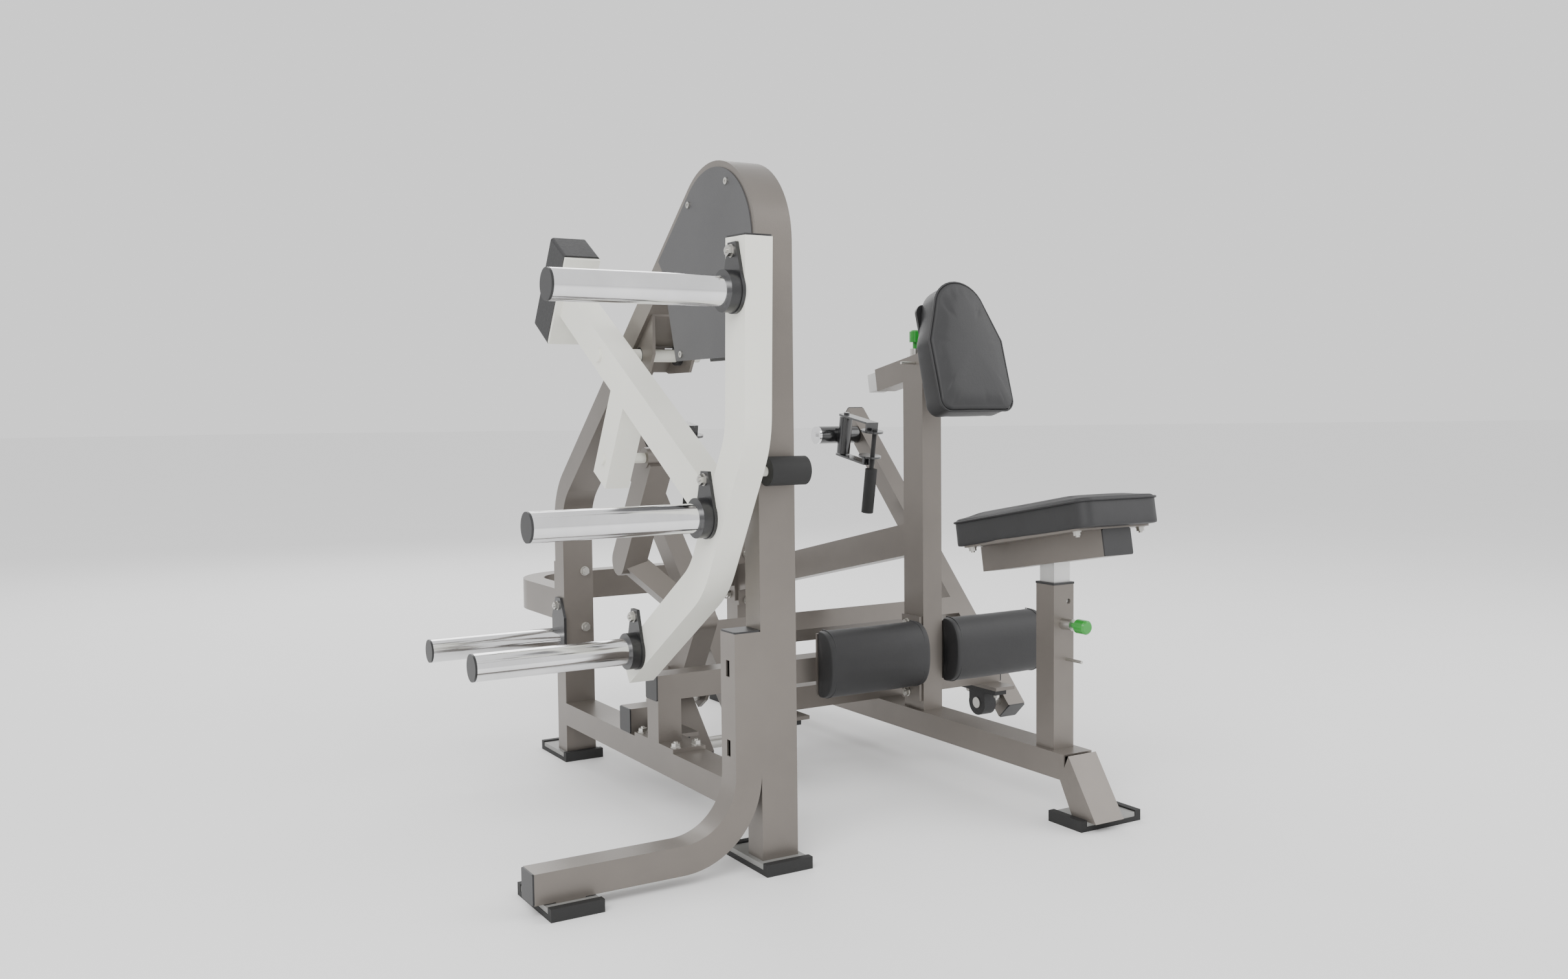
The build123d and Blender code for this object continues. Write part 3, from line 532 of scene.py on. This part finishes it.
class ROW_OT_foot_pads(bpy.types.Operator):
    """Build both half-round foot pads with a seam near each end"""
    bl_idname = "row.foot_pads"
    bl_label = "Foot Pads"

    def execute(self, context):
        for side in ("left", "right"):
            low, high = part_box("foot_pad_" + side)
            self.build(side, Vector(low), Vector(high))
        return {"FINISHED"}

    def build(self, side, low, high):
        work = bmesh.new()
        length = high.x - low.x
        back = high.y
        deep = high.y - low.y
        middle_z = (low.z + high.z) / 2
        half_z = (high.z - low.z) / 2
        rings = []
        for along in end_stations(length):
            x = low.x + along
            from_end = min(along, length - along)
            shrink = 1.0
            if from_end < END_ROUND:
                rise = math.sqrt(max(0.0, 1 - (1 - from_end / END_ROUND) ** 2))
                shrink = 1 - END_SHRINK + END_SHRINK * rise
            ring_points = []
            for j in range(FOOT_AROUND):
                angle = math.pi * j / (FOOT_AROUND - 1)
                y, z = half_round(angle, back, deep * shrink, middle_z, half_z * shrink)
                ring_points.append(work.verts.new((x, y, z)))
            for j in range(1, FOOT_BACK):
                z = middle_z + half_z * shrink * (1 - 2 * j / FOOT_BACK)
                ring_points.append(work.verts.new((x, back, z)))
            rings.append(ring_points)
        total = len(rings[0])
        for a, b in zip(rings, rings[1:]):
            for j in range(total):
                n = (j + 1) % total
                work.faces.new((a[j], a[n], b[n], b[j]))
        for ring_points in (rings[0], rings[-1]):
            centre = sum((v.co for v in ring_points), Vector()) / total
            hub = work.verts.new(centre)
            for j in range(total):
                work.faces.new((ring_points[j], ring_points[(j + 1) % total], hub))
        bmesh.ops.recalc_face_normals(work, faces=work.faces)
        pad = object_from(work, "foot_cushion_" + side)
        finish_pad(pad, "foot_pad_" + side, "frame", FOOT_PUFF)
        for end, x in (("a", low.x + FOOT_SEAM_INSET), ("b", high.x - FOOT_SEAM_INSET)):
            points = []
            for j in range(FOOT_SEAM_STEPS + 1):
                angle = math.pi * j / FOOT_SEAM_STEPS
                y, z = half_round(angle, back - FOOT_SEAM_SINK, deep - FOOT_SEAM_SINK, middle_z, half_z)
                points.append((x, y, z))
            name = "foot_seam_" + side + "_" + end
            seam = welt(points, FOOT_SEAM_RADIUS, Matrix.Identity(4), name, FINISHES["black_vinyl"])
            hook_welt(seam, "frame")


class ROW_OT_stage(bpy.types.Operator):
    """Set the pale floor, the soft lights and the camera"""
    bl_idname = "row.stage"
    bl_label = "Stage"

    def execute(self, context):
        scene = context.scene
        self.floor(scene)
        self.lights(scene)
        self.camera(scene)
        return {"FINISHED"}

    def floor(self, scene):
        work = bmesh.new()
        bmesh.ops.create_grid(work, x_segments=2, y_segments=2, size=FLOOR_HALF)
        floor = object_from(work, "studio_floor")
        material, tree, shader, coord = new_material("studio floor")
        cloud = noise(tree, coord, 2.0)
        color = tuple(scene.row_colors.floor)
        tone = ramp(tree, cloud.outputs["Fac"], 0.3, 0.7, tint(color, 0.99), color)
        tree.links.new(tone.outputs["Color"], shader.inputs["Base Color"])
        shader.inputs["Roughness"].default_value = 0.75
        floor.data.materials.append(material)

    def lights(self, scene):
        world = bpy.data.worlds.new("studio")
        world.use_nodes = True
        world.node_tree.nodes["Background"].inputs["Color"].default_value = (1, 1, 1, 1)
        world.node_tree.nodes["Background"].inputs["Strength"].default_value = 1.15
        scene.world = world
        plan = (
            ("key", (-3.2, -3.0, 3.6), 2.8, 150.0),
            ("fill", (3.4, -2.2, 2.6), 3.0, 70.0),
            ("back", (0.5, 3.8, 3.2), 3.0, 90.0),
        )
        for name, spot, size, power in plan:
            lamp = bpy.data.lights.new(name, "AREA")
            lamp.size = size
            lamp.energy = power
            obj = bpy.data.objects.new(name, lamp)
            obj.location = spot
            aim = Vector(LIGHT_AIM) - Vector(spot)
            obj.rotation_euler = aim.to_track_quat("-Z", "Y").to_euler()
            scene.collection.objects.link(obj)

    def camera(self, scene):
        tower = Vector(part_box("hoop_tower")[0])
        lens = bpy.data.cameras.new("camera")
        lens.lens = 31.37
        lens.sensor_width = 36.0
        lens.clip_end = 60.0
        obj = bpy.data.objects.new("camera", lens)
        from_tower = Vector((-1.135, -1.989, 0.785))
        yaw = math.radians(30.773)
        pitch = math.radians(-3.315)
        roll = math.radians(-0.611)
        look = Vector((math.sin(yaw) * math.cos(pitch), math.cos(yaw) * math.cos(pitch), math.sin(pitch)))
        turn = look.to_track_quat("-Z", "Y").to_matrix().to_4x4()
        spot = Vector((tower.x, tower.y, 0)) + from_tower
        obj.matrix_world = Matrix.Translation(spot) @ turn @ Matrix.Rotation(roll, 4, "Z")
        scene.collection.objects.link(obj)
        scene.camera = obj


class ROW_PT_panel(bpy.types.Panel):
    """Sidebar list of the machine's pieces"""
    bl_idname = "ROW_PT_panel"
    bl_label = "Row Machine"
    bl_space_type = "VIEW_3D"
    bl_region_type = "UI"
    bl_category = "Row Machine"

    def draw(self, context):
        for group in (context.scene.row_pads, context.scene.row_colors):
            for name in group.__annotations__:
                self.layout.prop(group, name)
        for step in STEPS:
            self.layout.operator(step.bl_idname)


STEPS = (ROW_OT_finishes, ROW_OT_seat, ROW_OT_chest, ROW_OT_foot_pads, ROW_OT_stage)
CLASSES = (RowPads, RowColors) + STEPS + (ROW_PT_panel,)


def register():
    for item in CLASSES:
        bpy.utils.register_class(item)
    bpy.types.Scene.row_pads = PointerProperty(type=RowPads)
    bpy.types.Scene.row_colors = PointerProperty(type=RowColors)


def unregister():
    del bpy.types.Scene.row_colors
    del bpy.types.Scene.row_pads
    for item in reversed(CLASSES):
        bpy.utils.unregister_class(item)


def main():
    register()
    bpy.ops.row.finishes()
    bpy.ops.row.seat()
    bpy.ops.row.chest()
    bpy.ops.row.foot_pads()
    bpy.ops.row.stage()


if __name__ == "__main__":
    main()
